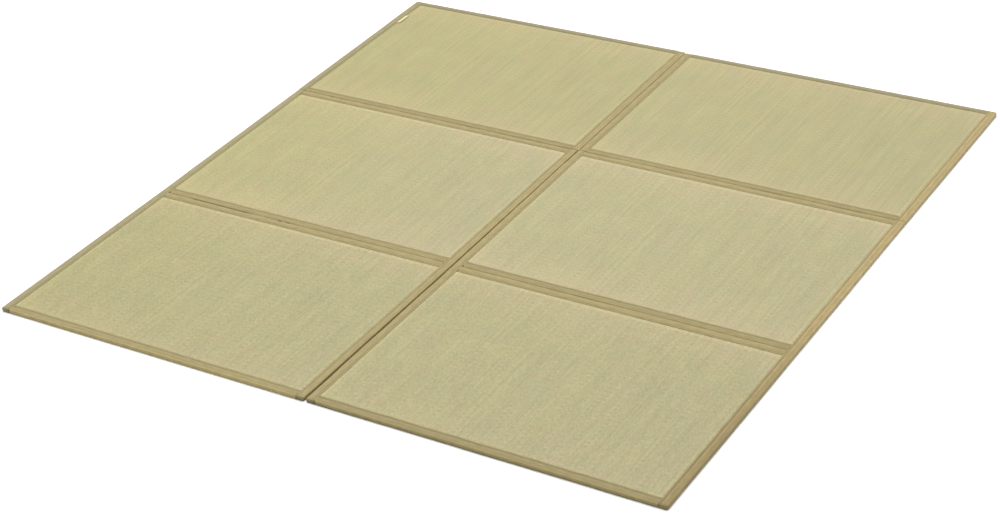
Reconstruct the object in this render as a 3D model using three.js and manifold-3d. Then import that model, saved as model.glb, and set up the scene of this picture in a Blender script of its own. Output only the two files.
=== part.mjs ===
// A folding tatami mat, laid out flat: six woven rush panels in two columns of three,
// each edged all round with a cotton binding tape that wraps over its rim.
//
// Units are millimetres. +X runs across the mat, +Y from the front edge to the back edge and
// +Z up. The origin is on the floor, under the centre of the mat's outline.
//
// Each column has two sections. The front section is two panels whose long side bindings run
// on across the fold between them; the back section is one panel with side bindings of its own.

import * as THREE from "three";
import Module from "manifold-3d";
import { mergeVertices } from "three/addons/utils/BufferGeometryUtils.js";

const wasm = await Module();
wasm.setup();

// ---- Driving dimensions ------------------------------------------------------------------

const COLUMN_WIDTH = 880; // one panel, side to side
const PANEL_DEPTH = 600; // one panel, front to back
const THICKNESS = 10; // over the binding
const RUSH_THICKNESS = 9.3; // in the open face of a panel
const CLOTH = 1; // the binding tape
const CLEARANCE = 0.3; // between two pieces that touch
const RIM_BULGE = 4; // how far the rolled rim curves in, at its top and bottom
const PLAN_CORNER = 8; // the rounding of a panel's outer corner, seen from above
const FACE_CORNER = 1; // the rounding of the open rush face, seen from above
const FACE_SLOPE = 2.6; // the strip in which the rush rises from under the binding to its face

// How wide the bindings are, on top of the mat. "front" is the tape on a panel's front edge.
const SIDE_BINDING = { outer: 22.5, inner: 22.5 };
const CROSS_BINDING = {
  back: { front: 19.5, back: 18 },
  middle: { front: 22, back: 22 },
  front: { front: 23.5, back: 23 },
};

// How each column lies, as shifts in millimetres from an even grid of panels. Every row is one
// line across the column: the shift of its left and right end, sideways (X) and lengthways (Y).
const LIE = {
  left: {
    frontEdge: { leftX: -2.9, rightX: -8.5, leftY: 0.8, rightY: -0.8 },
    frontFold: { leftX: 3.0, rightX: -4.9, leftY: 3.0, rightY: 4.6 },
    backFoldNear: { leftX: 2.6, rightX: -6.5, leftY: 3.6, rightY: 3.6 },
    backFoldFar: { leftX: 1.6, rightX: -4.4, leftY: 4.0, rightY: 4.0 },
    backEdge: { leftX: 1.6, rightX: -6.0, leftY: -2.0, rightY: 0.8 },
  },
  right: {
    frontEdge: { leftX: -4.4, rightX: 1.1, leftY: 0.0, rightY: -1.4 },
    frontFold: { leftX: -2.8, rightX: 1.1, leftY: 5.4, rightY: 3.5 },
    backFoldNear: { leftX: -5.6, rightX: 0.7, leftY: 5.4, rightY: 4.8 },
    backFoldFar: { leftX: -3.8, rightX: 1.0, leftY: 5.8, rightY: 5.2 },
    backEdge: { leftX: -5.6, rightX: 1.8, leftY: -2.4, rightY: -3.0 },
  },
};

// The blank woven tag sewn in beside the left binding of the back left panel.
const TAG = { reach: 10, length: 48, thickness: 1, fromBackEdge: 95, corner: 0.8 };

const RIM_STEPS = 6; // facets round the rolled rim
const CORNER_STEPS = 3; // facets round a corner seen from above
const LEAST_CORNER = 0.01; // the rounding of a corner that is sharp
const LEAST_ROLLED_CORNER = 0.5; // the rounding left where a rim draws a corner in
const HOLLOW_OVERRUN = 6; // how far a binding's hollow is cut out past its open sides

// ---- Materials ---------------------------------------------------------------------------

const rush = new THREE.MeshStandardMaterial({ color: 0xc3b98c, roughness: 0.62, metalness: 0 });
const tape = new THREE.MeshStandardMaterial({ color: 0xb3a279, roughness: 0.9, metalness: 0 });
const tagCloth = new THREE.MeshStandardMaterial({ color: 0xf4ecc8, roughness: 0.85, metalness: 0 });

// ---- The grid and how it lies ------------------------------------------------------------

const FRONT = -1.5 * PANEL_DEPTH;
const FRONT_FOLD = -0.5 * PANEL_DEPTH;
const BACK_FOLD = 0.5 * PANEL_DEPTH;
const BACK = 1.5 * PANEL_DEPTH;

// The cross lines that bound a section, from front to back, with their even-grid Y.
const SECTION_LINES = {
  front: [["frontEdge", FRONT], ["frontFold", FRONT_FOLD], ["backFoldNear", BACK_FOLD]],
  back: [["backFoldFar", BACK_FOLD], ["backEdge", BACK]],
};

const lerp = THREE.MathUtils.lerp;

// Returns a function that takes a point of the even grid, with p across the column from its
// left edge and q along the mat, to where it lies.
function layingOf(columnName, sectionName) {
  const columnLeft = columnName === "left" ? -COLUMN_WIDTH : 0;
  const lines = SECTION_LINES[sectionName];
  return (p, q) => {
    const last = lines.length - 2;
    const first = lines.findIndex((line, i) => i === last || q < lines[i + 1][1]);
    const [nearName, nearQ] = lines[first];
    const [farName, farQ] = lines[first + 1];
    const along = (q - nearQ) / (farQ - nearQ);
    const across = p / COLUMN_WIDTH;
    const near = LIE[columnName][nearName];
    const far = LIE[columnName][farName];
    const shift = (left, right) =>
      lerp(lerp(near[left], near[right], across), lerp(far[left], far[right], across), along);
    return [columnLeft + p + shift("leftX", "rightX"), q + shift("leftY", "rightY")];
  };
}

// ---- Building blocks ---------------------------------------------------------------------

// A rectangle with rounded corners on the even grid, listed anticlockwise from its front left
// corner, with extra points at the given q so that its long sides can bend there.
function roundedPlan({ p0, p1, q0, q1, radii, bends }) {
  const corners = [
    { p: p0, q: q0, dp: 1, dq: 1, turn: Math.PI },
    { p: p1, q: q0, dp: -1, dq: 1, turn: 1.5 * Math.PI },
    { p: p1, q: q1, dp: -1, dq: -1, turn: 0 },
    { p: p0, q: q1, dp: 1, dq: -1, turn: 0.5 * Math.PI },
  ];
  const points = [];
  corners.forEach((corner, i) => {
    const radius = Math.max(radii[i], LEAST_CORNER);
    for (let step = 0; step <= CORNER_STEPS; step++) {
      const angle = corner.turn + (step / CORNER_STEPS) * 0.5 * Math.PI;
      const p = corner.p + radius * (corner.dp + Math.cos(angle));
      const q = corner.q + radius * (corner.dq + Math.sin(angle));
      points.push([p, q]);
    }
    if (i === 1) bends.forEach((q) => points.push([p1, q]));
    if (i === 3) [...bends].reverse().forEach((q) => points.push([p0, q]));
  });
  return points;
}

// Joins a stack of equal rings into one closed solid. The rings run from the bottom up and
// each lists its points anticlockwise, seen from above.
function solidFromRings(rings) {
  const count = rings[0].length;
  const positions = rings.flat(2);
  const index = [];
  for (let ring = 0; ring + 1 < rings.length; ring++) {
    for (let i = 0; i < count; i++) {
      const a = ring * count + i;
      const b = ring * count + ((i + 1) % count);
      index.push(a, b, b + count, a, b + count, a + count);
    }
  }
  const contour = rings[0].map(([x, y]) => new THREE.Vector2(x, y));
  const lid = rings.at(-1).map(([x, y]) => new THREE.Vector2(x, y));
  const top = (rings.length - 1) * count;
  THREE.ShapeUtils.triangulateShape(contour, []).forEach(([a, b, c]) => index.push(a, c, b));
  THREE.ShapeUtils.triangulateShape(lid, []).forEach(([a, b, c]) => {
    index.push(top + a, top + b, top + c);
  });
  const geometry = new THREE.BufferGeometry();
  geometry.setAttribute("position", new THREE.Float32BufferAttribute(positions, 3));
  geometry.setIndex(index);
  return geometry;
}

function toManifold(geometry) {
  const bare = new THREE.BufferGeometry();
  bare.setAttribute("position", geometry.getAttribute("position"));
  bare.setIndex(geometry.index);
  const merged = mergeVertices(bare, 1e-4);
  return new wasm.Manifold(new wasm.Mesh({
    numProp: 3,
    vertProperties: new Float32Array(merged.getAttribute("position").array),
    triVerts: new Uint32Array(merged.index.array),
  }));
}

function toGeometry(manifold) {
  const mesh = manifold.getMesh();
  const geometry = new THREE.BufferGeometry();
  geometry.setAttribute("position", new THREE.BufferAttribute(mesh.vertProperties, mesh.numProp));
  geometry.setIndex(new THREE.BufferAttribute(mesh.triVerts, 1));
  return geometry;
}

// How far a half-round rim, bulging by "bulge", is drawn in at a height above or below its
// middle, as a share of its half height.
function rimInset(bulge, share) {
  return bulge * (1 - Math.sqrt(Math.max(0, 1 - share * share)));
}

// Heights and insets up a half-round rim between two heights.
function rimProfile(bottom, top, bulge) {
  const profile = [];
  for (let step = 0; step <= RIM_STEPS; step++) {
    const share = -Math.cos((step / RIM_STEPS) * Math.PI);
    const z = (bottom + top) / 2 + (share * (top - bottom)) / 2;
    profile.push({ z, inset: rimInset(bulge, share) });
  }
  return profile;
}

// ---- Pieces ------------------------------------------------------------------------------

// A body with a rolled rim on the sides of a box that are marked, and plain walls on the rest.
function rolledBody({ box, rolled, bottom, top, bulge, radius, bends, lay }) {
  const rings = rimProfile(bottom, top, bulge).map(({ z, inset }) => {
    const edge = {
      p0: box.p0 + (rolled.left ? inset : 0),
      p1: box.p1 - (rolled.right ? inset : 0),
      q0: box.q0 + (rolled.front ? inset : 0),
      q1: box.q1 - (rolled.back ? inset : 0),
    };
    const rolledCorner = Math.max(radius - inset, LEAST_ROLLED_CORNER);
    const round = (a, b) => (rolled[a] && rolled[b] ? rolledCorner : 0);
    const radii = [
      round("left", "front"), round("right", "front"), round("right", "back"), round("left", "back"),
    ];
    return roundedPlan({ ...edge, radii, bends }).map(([p, q]) => [...lay(p, q), z]);
  });
  return solidFromRings(rings);
}

// A binding tape: a channel of cloth folded over one side of a panel, open towards the panel.
// "box" is its outline on the grid and "rolled" marks the sides where it folds over the rim; it is
// open on the rest. A side binding closes round the corners at both ends, and a cross binding
// stops against the side bindings.
function binding({ box, rolled, bends, lay }) {
  const outer = rolledBody({
    box, rolled, bends, lay, bottom: 0, top: THICKNESS, bulge: RIM_BULGE, radius: PLAN_CORNER,
  });
  const wall = (side) => (rolled[side] ? CLOTH : -HOLLOW_OVERRUN);
  const hollow = rolledBody({
    box: {
      p0: box.p0 + wall("left"),
      p1: box.p1 - wall("right"),
      q0: box.q0 + wall("front"),
      q1: box.q1 - wall("back"),
    },
    rolled, bends, lay,
    bottom: CLOTH,
    top: THICKNESS - CLOTH,
    bulge: RIM_BULGE - CLOTH,
    radius: PLAN_CORNER - CLOTH,
  });
  return toGeometry(toManifold(outer).subtract(toManifold(hollow)));
}

// A panel of woven rush. Its rim is pressed thinner where it sits in the bindings.
function rushPanel({ box, widths, lay }) {
  const seat = CLOTH + CLEARANCE;
  const rim = rimProfile(seat, THICKNESS - seat, RIM_BULGE - seat)
    .map(({ z, inset }) => ({ z, insets: sides(() => seat + inset), radius: PLAN_CORNER - seat }));
  const mouth = sides((side) => widths[side] + CLEARANCE);
  const face = sides((side) => widths[side] + FACE_SLOPE);
  const levels = [
    { z: 0, insets: face, radius: FACE_CORNER },
    { z: seat, insets: mouth, radius: FACE_CORNER },
    ...rim,
    { z: THICKNESS - seat, insets: mouth, radius: FACE_CORNER },
    { z: RUSH_THICKNESS, insets: face, radius: FACE_CORNER },
  ];
  const rings = levels.map(({ z, insets, radius }) => {
    const plan = roundedPlan({
      p0: box.p0 + insets.left,
      p1: box.p1 - insets.right,
      q0: box.q0 + insets.front,
      q1: box.q1 - insets.back,
      radii: Array(4).fill(radius),
      bends: [],
    });
    return plan.map(([p, q]) => [...lay(p, q), z]);
  });
  return solidFromRings(rings);
}

function sides(valueOf) {
  return Object.fromEntries(["left", "right", "front", "back"].map((side) => [side, valueOf(side)]));
}

// The tag lies on the rush with one long side against the binding.
function sewnTag({ box, widths, lay }) {
  const p0 = box.p0 + widths.left + CLEARANCE;
  const q1 = box.q1 - TAG.fromBackEdge;
  const bottom = RUSH_THICKNESS + CLEARANCE;
  const plan = roundedPlan({
    p0, p1: p0 + TAG.reach, q0: q1 - TAG.length, q1, radii: Array(4).fill(TAG.corner), bends: [],
  });
  const ring = (z) => plan.map(([p, q]) => [...lay(p, q), z]);
  return solidFromRings([ring(bottom), ring(bottom + TAG.thickness)]);
}

// ---- Assembly ----------------------------------------------------------------------------

const mat = new THREE.Group();

function add(name, geometry, material) {
  const mesh = new THREE.Mesh(geometry, material);
  mesh.name = name;
  mat.add(mesh);
}

const ROWS = {
  front: { section: "front", q0: FRONT, q1: FRONT_FOLD },
  middle: { section: "front", q0: FRONT_FOLD, q1: BACK_FOLD },
  back: { section: "back", q0: BACK_FOLD, q1: BACK },
};

for (const columnName of ["left", "right"]) {
  const sideWidths = {
    left: columnName === "left" ? SIDE_BINDING.outer : SIDE_BINDING.inner,
    right: columnName === "left" ? SIDE_BINDING.inner : SIDE_BINDING.outer,
  };

  for (const [rowName, row] of Object.entries(ROWS)) {
    const lay = layingOf(columnName, row.section);
    const widths = { ...sideWidths, ...CROSS_BINDING[rowName] };
    // Panels that share a fold stand a clearance apart there.
    const box = {
      p0: 0,
      p1: COLUMN_WIDTH,
      q0: row.q0 + (rowName === "middle" ? CLEARANCE / 2 : 0),
      q1: row.q1 - (rowName === "front" ? CLEARANCE / 2 : 0),
    };
    add(`rush_${rowName}_${columnName}`, rushPanel({ box, widths, lay }), rush);

    for (const end of ["front", "back"]) {
      const between = {
        p0: widths.left + CLEARANCE,
        p1: COLUMN_WIDTH - widths.right - CLEARANCE,
        q0: end === "front" ? box.q0 : box.q1 - widths.back,
        q1: end === "front" ? box.q0 + widths.front : box.q1,
      };
      const strip = binding({ box: between, rolled: { [end]: true }, bends: [], lay });
      add(`binding_${rowName}_${columnName}_${end}_edge`, strip, tape);
    }

    if (rowName === "back" && columnName === "left") {
      add("tag_back_left", sewnTag({ box, widths, lay }), tagCloth);
    }
  }

  for (const sectionName of ["front", "back"]) {
    const lay = layingOf(columnName, sectionName);
    const lines = SECTION_LINES[sectionName];
    const bends = lines.slice(1, -1).map(([, q]) => q);
    for (const side of ["left", "right"]) {
      const box = {
        p0: side === "left" ? 0 : COLUMN_WIDTH - sideWidths.right,
        p1: side === "left" ? sideWidths.left : COLUMN_WIDTH,
        q0: lines[0][1],
        q1: lines.at(-1)[1],
      };
      const rolled = { [side]: true, front: true, back: true };
      add(`binding_${sectionName}_section_${columnName}_${side}_side`,
        binding({ box, rolled, bends, lay }), tape);
    }
  }
}

export default mat;
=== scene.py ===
import math

import bmesh
import bpy
import numpy as np
from mathutils import Matrix, Vector


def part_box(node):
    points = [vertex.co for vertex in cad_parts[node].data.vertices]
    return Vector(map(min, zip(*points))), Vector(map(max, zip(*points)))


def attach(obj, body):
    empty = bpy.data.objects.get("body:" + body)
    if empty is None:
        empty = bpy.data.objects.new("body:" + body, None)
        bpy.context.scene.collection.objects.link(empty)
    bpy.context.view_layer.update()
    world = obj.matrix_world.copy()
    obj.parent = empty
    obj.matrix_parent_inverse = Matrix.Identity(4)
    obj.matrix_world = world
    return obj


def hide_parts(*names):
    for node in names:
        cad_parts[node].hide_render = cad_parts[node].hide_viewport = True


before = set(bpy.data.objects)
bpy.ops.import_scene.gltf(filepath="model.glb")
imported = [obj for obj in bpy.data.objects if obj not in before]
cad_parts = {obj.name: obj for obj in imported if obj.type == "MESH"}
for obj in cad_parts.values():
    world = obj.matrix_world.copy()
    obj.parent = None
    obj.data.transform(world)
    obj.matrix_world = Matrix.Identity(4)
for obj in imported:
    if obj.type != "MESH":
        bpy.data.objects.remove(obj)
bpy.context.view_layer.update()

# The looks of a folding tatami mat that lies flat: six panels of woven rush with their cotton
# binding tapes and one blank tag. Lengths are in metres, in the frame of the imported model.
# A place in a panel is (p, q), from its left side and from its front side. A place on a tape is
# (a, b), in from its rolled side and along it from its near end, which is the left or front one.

MM = 0.001

ROWS = ("front", "middle", "back")
COLUMNS = ("left", "right")
ENDS = ("front", "back")
SECTION_ROWS = {"front": ("front", "middle"), "back": ("back",)}
SECTION_OF = {"front": "front", "middle": "front", "back": "back"}

# ---- Driving dimensions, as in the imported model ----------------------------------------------

PANEL_WIDTH = 880 * MM
PANEL_DEPTH = 600 * MM
THICKNESS = 10 * MM
RUSH_TOP = 9.3 * MM  # the height of the open face of the rush
CLOTH = 1 * MM
CLEARANCE = 0.3 * MM
SEAT = CLOTH + CLEARANCE  # how far the rush stays inside the outline of its panel
SEAT_HALF = THICKNESS / 2 - SEAT  # half of the rush's thickness under the tapes
RIM_BULGE = 4 * MM  # how far in from the outline a rim is round
FREE_CORNER = 4.4 * MM  # plan radius of a side tape's end at the mat's outline
BUTT_CORNER = 2.5 * MM  # and where it meets the next section's
FACE_SLOPE = 2.6 * MM  # from a tape's inner edge to where the open face is level
LEVEL_TOLERANCE = 0.1 * MM  # for finding the points half way up a panel's rim

# How wide the tapes are on top: down the sides, and across the front and back of each row.
SIDE_WIDTH = 22.5 * MM
CROSS_WIDTH = {
    "back": {"front": 19.5 * MM, "back": 18 * MM},
    "middle": {"front": 22 * MM, "back": 22 * MM},
    "front": {"front": 23.5 * MM, "back": 23 * MM},
}

# ---- The shape of the rush -------------------------------------------------------------------

ROW = 7.35 * MM  # between two neighbouring cross grooves; every second one is deeper
DEEP_GROOVE = 0.35 * MM
SHALLOW_GROOVE = 0.06 * MM
GROOVE_WIDTH = 1.0 * MM
RUSH_WAVES = {  # how uneven it is: a share of the grooves' depth, and the height of its face
    "grooves": {"size": 0.3, "shortest": 12 * MM, "longest": 90 * MM, "y_rate": 0.3},
    "face": {"size": 0.12 * MM, "shortest": 25 * MM, "longest": 120 * MM, "y_rate": 0.1},
}

# Where its mesh lines run: those along its round rim, those of the valley under a tape, from the
# tape's inner edge towards the outline, and those where the level face begins, from there inwards.
RIM_SHARES = np.array([0.0, 0.08, 0.3, 0.65, 1.0])
VALLEY_LINES = np.array([13, 10.5, 8, 6, 4, 2]) * MM
SHOULDER_LINES = np.array([0.0, 2.5, 5.0]) * MM
ROW_STEPS = 6  # mesh steps along one row
RUSH_STEP = 10.4 * MM  # between the mesh lines that run along the stalks
UNDER_STEPS = {"p": 2, "q": 2 * ROW_STEPS}  # how many of these steps one of the underside spans

# ---- The shape of the tapes ------------------------------------------------------------------

TAPE_EDGE = 0.35 * MM  # how wide the soft round of its inner edge is
EDGE_DROP = 0.25 * MM  # how far that edge sinks
SEAM_INSET = 4.8 * MM  # from the inner edge to the line of stitches
SEAM_DEPTH = 0.4 * MM
SEAM_WIDTH = 0.9 * MM
SEAM_DIP = 1.2 * MM  # the wide soft valley around the stitches, in the tape and in the rush
SEAM_DIP_WIDTH = 5 * MM
DIP_START = (3 * MM, 9 * MM)  # in from the outline: where the rush's valley begins and is full
CROWN = 0.3 * MM
TOP_START = (0.3 * RIM_BULGE, 1.3 * RIM_BULGE)  # where a tape's relief begins and is full
SLUMP_REACH = 11 * MM
LEAST_SLUMP = 0.25  # the share of a rim's slump that stays where it is least
UNREST_SPAN = (-0.9, 0.9)  # the unrest where a rim slumps least and where it slumps in full
TAPE_WAVES = {  # how uneven it is: its lie, its inner edge, its top twice, and its slump
    "bow": {"size": 0.2 * MM, "shortest": 120 * MM, "longest": 500 * MM},
    "edge": {"size": 0.35 * MM, "shortest": 30 * MM, "longest": 160 * MM},
    "ripple": {"size": 0.07 * MM, "shortest": 7 * MM, "longest": 30 * MM, "y_rate": 0.6},
    "swell": {"size": 0.10 * MM, "shortest": 25 * MM, "longest": 120 * MM},
    "unrest": {"size": 1.0, "shortest": 90 * MM, "longest": 400 * MM},
}

# Its mesh lines. A closed end has those of the rim's round, one more, and then the even ones.
RIM_STEPS = 8
TAPE_STEP_ACROSS = 2 * MM
TAPE_STEP_ALONG = 3 * MM
LAST_END_LINE = 5 * MM
FIRST_RUN_LINE = 6 * MM
RIM_COARSENESS = 2  # how many steps of the top one of the other faces spans, on the rim
RUN_COARSENESS = 4  # and along the tape
COARSE_TOP_LINE = RIM_STEPS + 3  # the one line of theirs between the rim and the inner edge

# The pit at the near end of the middle panels' front tapes.
PIT_INSET = 3 * MM
PIT_WIDTH = 2.5 * MM
PIT_DEPTH = 2.5 * MM
PIT_START = (SEAT, 3 * MM)  # in from the outline: where the rush's share of it begins and is full

# ---- The shape of the tag --------------------------------------------------------------------

TAG_THICKNESS = 0.6 * MM
TAG_LINES = (9, 25)  # mesh lines across and along it
TAG_LIFT = 1.3 * MM  # of its free edge
TAG_LIFT_POWER = 1.5
TAG_WAVE = 0.3 * MM  # how much that edge's lift changes along it
TAG_WAVE_TURN = 5  # the angle that this wave goes through, in radians

# ---- The looks of the rush -------------------------------------------------------------------

# Colours are 0 to 255, as the studio shows them on a level surface. Tints and gains are factors.
STALK = 2.6 * MM  # between two rush stalks that show side by side in one row
STALK_SWAY = 0.8  # how many stalks' widths they wander
STALK_SHARE = 0.25  # how much a stalk's own tone counts beside the streaks
STREAK_LAYERS = 7.0  # between the noise of even and of odd rows
STALK_TONES = (0.16, 1.08)  # the sums of both that are all green and all straw
RUSH_GREEN = (183, 177, 126)
RUSH_STRAW = (203, 194, 146)
RUSH_NOISES = {  # how often they vary in a metre, across and along the stalks
    "sway": {"across": 60, "along": 8, "detail": 1},  # the stalks' wandering
    "streak": {"across": 130, "along": 5, "detail": 3},  # greener and yellower stalks
    "blush": {"across": 26, "along": 22, "detail": 1, "layer": 4.0},  # greener and rosier patches
    "age": {"across": 13, "along": 10, "detail": 2, "layer": 9.0},  # bluer and yellower patches
    "fibre": {"across": 4000, "along": 120, "detail": 2},  # the fine lines of a stalk's skin
}
NOISE_SPAN = (0.3, 0.7)  # where nearly all of a noise lies
BLUSH_TINTS = ((0.985, 1.01, 1.0, 1.0), (1.015, 0.99, 1.0, 1.0))
AGE_TINTS = ((0.98, 0.98, 1.0, 1.0), (1.02, 1.02, 1.0, 1.0))
DASH = {"front": 0.07, "middle": 0.05, "back": 0.03}  # how much one dash's tone varies
PALE_END = 170 * MM  # how far from a panel's ends the stalks grow paler
PALE_TINT = (1.10, 1.04, 1.08, 1.0)
STALK_HOLLOW_SHADE = {"until": 0.75, "gain": 0.94}  # painted shade: the dark in the hollow around a stalk, up to this roundness
PAIR_HOLLOW_SHADE = {"until": 0.5, "gain": 0.98}  # and the painted shade in the deeper groove around a pair of rows
BESIDE_TAPE_HIGHLIGHT = {  # painted highlight: how much paler the rush is painted in a narrow band beside the tapes, where its face rises towards the light
    "front": {"left": 1.12, "right": 1.02, "front": 1.07, "back": 1.12},
    "middle": {"left": 1.08, "right": 1.05, "front": 1.03, "back": 1.11},
    "back": {"left": 1.02, "right": 1.05, "front": 1.05, "back": 1.05},
}
BAND_WIDTH = {"left": 5 * MM, "right": 5 * MM, "front": 5 * MM, "back": 9 * MM}
BAND_FADE = 7 * MM
PANEL_LOOKS = {  # with the gain of blue at both sides, and how much paler the front end grows
    ("front", "left"): {"lightness": 0.965, "blue_left": 0.96, "blue_right": 1.03, "front_end": 0.7},
    ("front", "right"): {"lightness": 0.965, "blue_left": 1.02, "blue_right": 1.05, "front_end": 0.5},
    ("middle", "left"): {"lightness": 1.0, "blue_left": 0.95, "blue_right": 1.08, "front_end": 1.0},
    ("middle", "right"): {"lightness": 1.01, "blue_left": 1.06, "blue_right": 1.07, "front_end": 1.0},
    ("back", "left"): {"lightness": 0.975, "blue_left": 0.94, "blue_right": 0.98, "front_end": 1.0},
    ("back", "right"): {"lightness": 0.99, "blue_left": 1.0, "blue_right": 1.02, "front_end": 1.0},
}
FIBRE_RELIEF = 0.18  # as a share of a stalk's height
FIBRE_SPAN = (0.2, 0.8)  # the values of the fibre noise with the least and the most roughness
RUSH_ROUGHNESS = (0.55, 0.7)
RUSH_SPECULAR = 0.3
RUSH_BUMP = 0.4 * MM

# ---- The looks of the tapes ------------------------------------------------------------------

# The pairs are where something begins and where it is full, or where it fades and is gone.
TONE_CHANGE = (200 * MM, 900 * MM)  # along a tape, from its near end's tone to its far end's
TAPE_WARP = 0.9 * MM
TAPE_WEFT = 0.7 * MM
TAPE_NOISES = {
    "yarn": {"across": 900, "along": 60, "detail": 3},
    "cloud": {"across": 90, "along": 30, "detail": 3},
}
TAPE_TONES = (0.87, 1.13)  # how much darker and paler the noises make the cloth
RIM_BAND = (5 * MM, 1 * MM)  # in from the outline: where the rim's painted light and warm tint begin and are full
RIM_WARM_TINT = (1.03, 0.97, 0.75, 1.0)
FOOT_TINT = (1.0, 0.95, 0.75)  # the warmth of the shade at the foot of the rim
FOOT_HEIGHT = 0.8 * THICKNESS  # up to where this shade reaches
# The painted shade in the groove of the stitches, and where it fades.
SEAM_PAINTED_SHADE = (0.67, 0.655, 0.6, 1.0)
SEAM_FADE = (0.4 * MM, 1.9 * MM)
RIDGE_PLACE = 8 * MM  # from the inner edge to the middle of a ridge with a painted highlight
RIDGE_FADE = (0.5 * MM, 3.5 * MM)
INNER_FADE = (8 * MM, 14 * MM)  # from the inner edge
END_FADE = (1 * MM, 8 * MM)  # from the near end: where the painted shade of a side tape's end fades and is gone
END_SHADE_GAIN = {"front": 0.75, "back": 1.0}  # painted shade: how light the side tapes' near ends stay, by section, where the folded ends face down and forward
SLIT_SHADE_BAND = (5.5 * MM, 4 * MM)  # in from the outline: where the painted shade of an open slit begins and is full
SLIT_SHADE_FADE = 30 * MM
# The painted shade of the pit, and how dark it grows.
PIT_SHADE_FADE = (1.2 * MM, 4.2 * MM)
PIT_SHADE_GAIN = 0.18
THREAD = (196, 186, 150)
THREAD_SHARE = 0.5
THREAD_FADE = (0.2 * MM, 0.5 * MM)
STITCH = 3.6 * MM  # from one stitch to the next
STITCH_SPAN = (-0.6, 0.2)  # the values of a wave along the seam where a stitch rises
TAPE_RELIEF = {"weave": 0.25, "yarn": 0.4, "thread": 1.2}
TAPE_ROUGHNESS = 0.85
TAPE_SPECULAR = 0.2
TAPE_SHEEN = 0.1
TAPE_BUMP = 0.25 * MM

PLAIN_RIM = {  # how a tape lies over its rim, and how its tone and its painted light and shade change there
    "slump": 0.0,  # the share of its height that the top has lost at the outline
    "power": 4.5,  # how square the rim is; 2 is an ellipse
    "near_painted_light": 1.0,  # painted light: how much paler the rim is painted near the tape's near end; under 1 it is painted shade
    "far_painted_light": 1.0,  # and towards its far end
    "warmth": 0.2,  # how much of the warm tint the rim has
    "foot_painted_shade": 1.0,  # painted shade: how light the cloth stays at the foot of the rim, where it is in shade
    "inner_blue": 1.0,  # the gain of blue on the tape's inner part
    "ridge_highlight": 1.0,  # painted highlight: how much paler the ridge beside the seam is painted, where it faces the light
}
LEFT_FRONT_RIM = {**PLAIN_RIM, "near_painted_light": 1.3, "far_painted_light": 1.3, "foot_painted_shade": 0.95}
RIGHT_FRONT_RIM = {**PLAIN_RIM, "near_painted_light": 1.12, "far_painted_light": 1.12, "foot_painted_shade": 0.6}
BACK_RIM = {**PLAIN_RIM, "near_painted_light": 1.3, "far_painted_light": 1.3}
LEFT_RIM = {**PLAIN_RIM, "near_painted_light": 1.25, "far_painted_light": 1.25, "inner_blue": 0.9}
RIGHT_RIM = {**PLAIN_RIM, "near_painted_light": 1.05, "far_painted_light": 1.3, "ridge_highlight": 1.14}
BACK_RIGHT_RIM = {**RIGHT_RIM, "near_painted_light": 1.25}

# Where two panels meet, the tapes' rims are rounder, and the nearer or right one sinks. They are
# called fold between the back and middle rows, faint between the middle and front rows, tight
# between the columns' back sections, and gap between their front sections.
# Their rims' gains paint light that lifts the shade of the crevice between them, and the gap's rims
# also have painted shade at their feet.
MEETING_RIM = {**PLAIN_RIM, "power": 2.2, "near_painted_light": 1.3, "far_painted_light": 1.3, "warmth": 0.0}
FOLD_FAR_RIM = MEETING_RIM
FOLD_NEAR_RIM = {**MEETING_RIM, "slump": 0.32}
FAINT_FAR_RIM = {**MEETING_RIM, "power": 2.0, "near_painted_light": 1.35, "far_painted_light": 1.35}
FAINT_NEAR_RIM = {**FAINT_FAR_RIM, "slump": 0.12}
TIGHT_LEFT_RIM = {**MEETING_RIM, "near_painted_light": 1.32, "far_painted_light": 1.32}
TIGHT_RIGHT_RIM = {**TIGHT_LEFT_RIM, "slump": 0.3, "power": 2.0}
GAP_RIM = {**PLAIN_RIM, "power": 3.0, "far_painted_light": 1.2, "foot_painted_shade": 0.5}
GAP_LEFT_RIM = {**GAP_RIM, "near_painted_light": 1.05, "warmth": 0.4}
GAP_RIGHT_RIM = {**GAP_RIM, "slump": 0.4, "near_painted_light": 0.9, "warmth": 0.5}

OCHRE = (180, 165, 116)
GREY = (179, 168, 130)
ROSY = (191, 171, 121)
BROWN = (171, 153, 105)
# A tape's lightness is partly its own tone and partly painted light and shade: the back tapes of the
# front and middle rows are painted lighter and the front tapes of the middle and back rows darker, as
# the light falls on them.
CROSS_TAPES = {  # by row, column and end
    ("front", "left", "front"): {"colour": OCHRE, "lightness": 0.99, "rim": LEFT_FRONT_RIM},
    ("front", "left", "back"): {"colour": OCHRE, "lightness": 1.06, "rim": FAINT_NEAR_RIM},
    ("front", "right", "front"): {"colour": OCHRE, "lightness": 0.91, "rim": RIGHT_FRONT_RIM},
    ("front", "right", "back"): {"colour": OCHRE, "lightness": 1.06, "rim": FAINT_NEAR_RIM},
    ("middle", "left", "front"): {"colour": OCHRE, "lightness": 0.97, "rim": FAINT_FAR_RIM},
    ("middle", "left", "back"): {"colour": OCHRE, "lightness": 1.05, "rim": FOLD_NEAR_RIM},
    ("middle", "right", "front"): {"colour": OCHRE, "lightness": 0.94, "rim": FAINT_FAR_RIM},
    ("middle", "right", "back"): {"colour": OCHRE, "lightness": 1.07, "rim": FOLD_NEAR_RIM},
    ("back", "left", "front"): {"colour": OCHRE, "lightness": 0.92, "rim": FOLD_FAR_RIM},
    ("back", "left", "back"): {"colour": GREY, "lightness": 0.89, "rim": BACK_RIM},
    ("back", "right", "front"): {"colour": OCHRE, "lightness": 0.94, "rim": FOLD_FAR_RIM},
    ("back", "right", "back"): {"colour": GREY, "lightness": 0.92, "rim": BACK_RIM},
}
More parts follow.
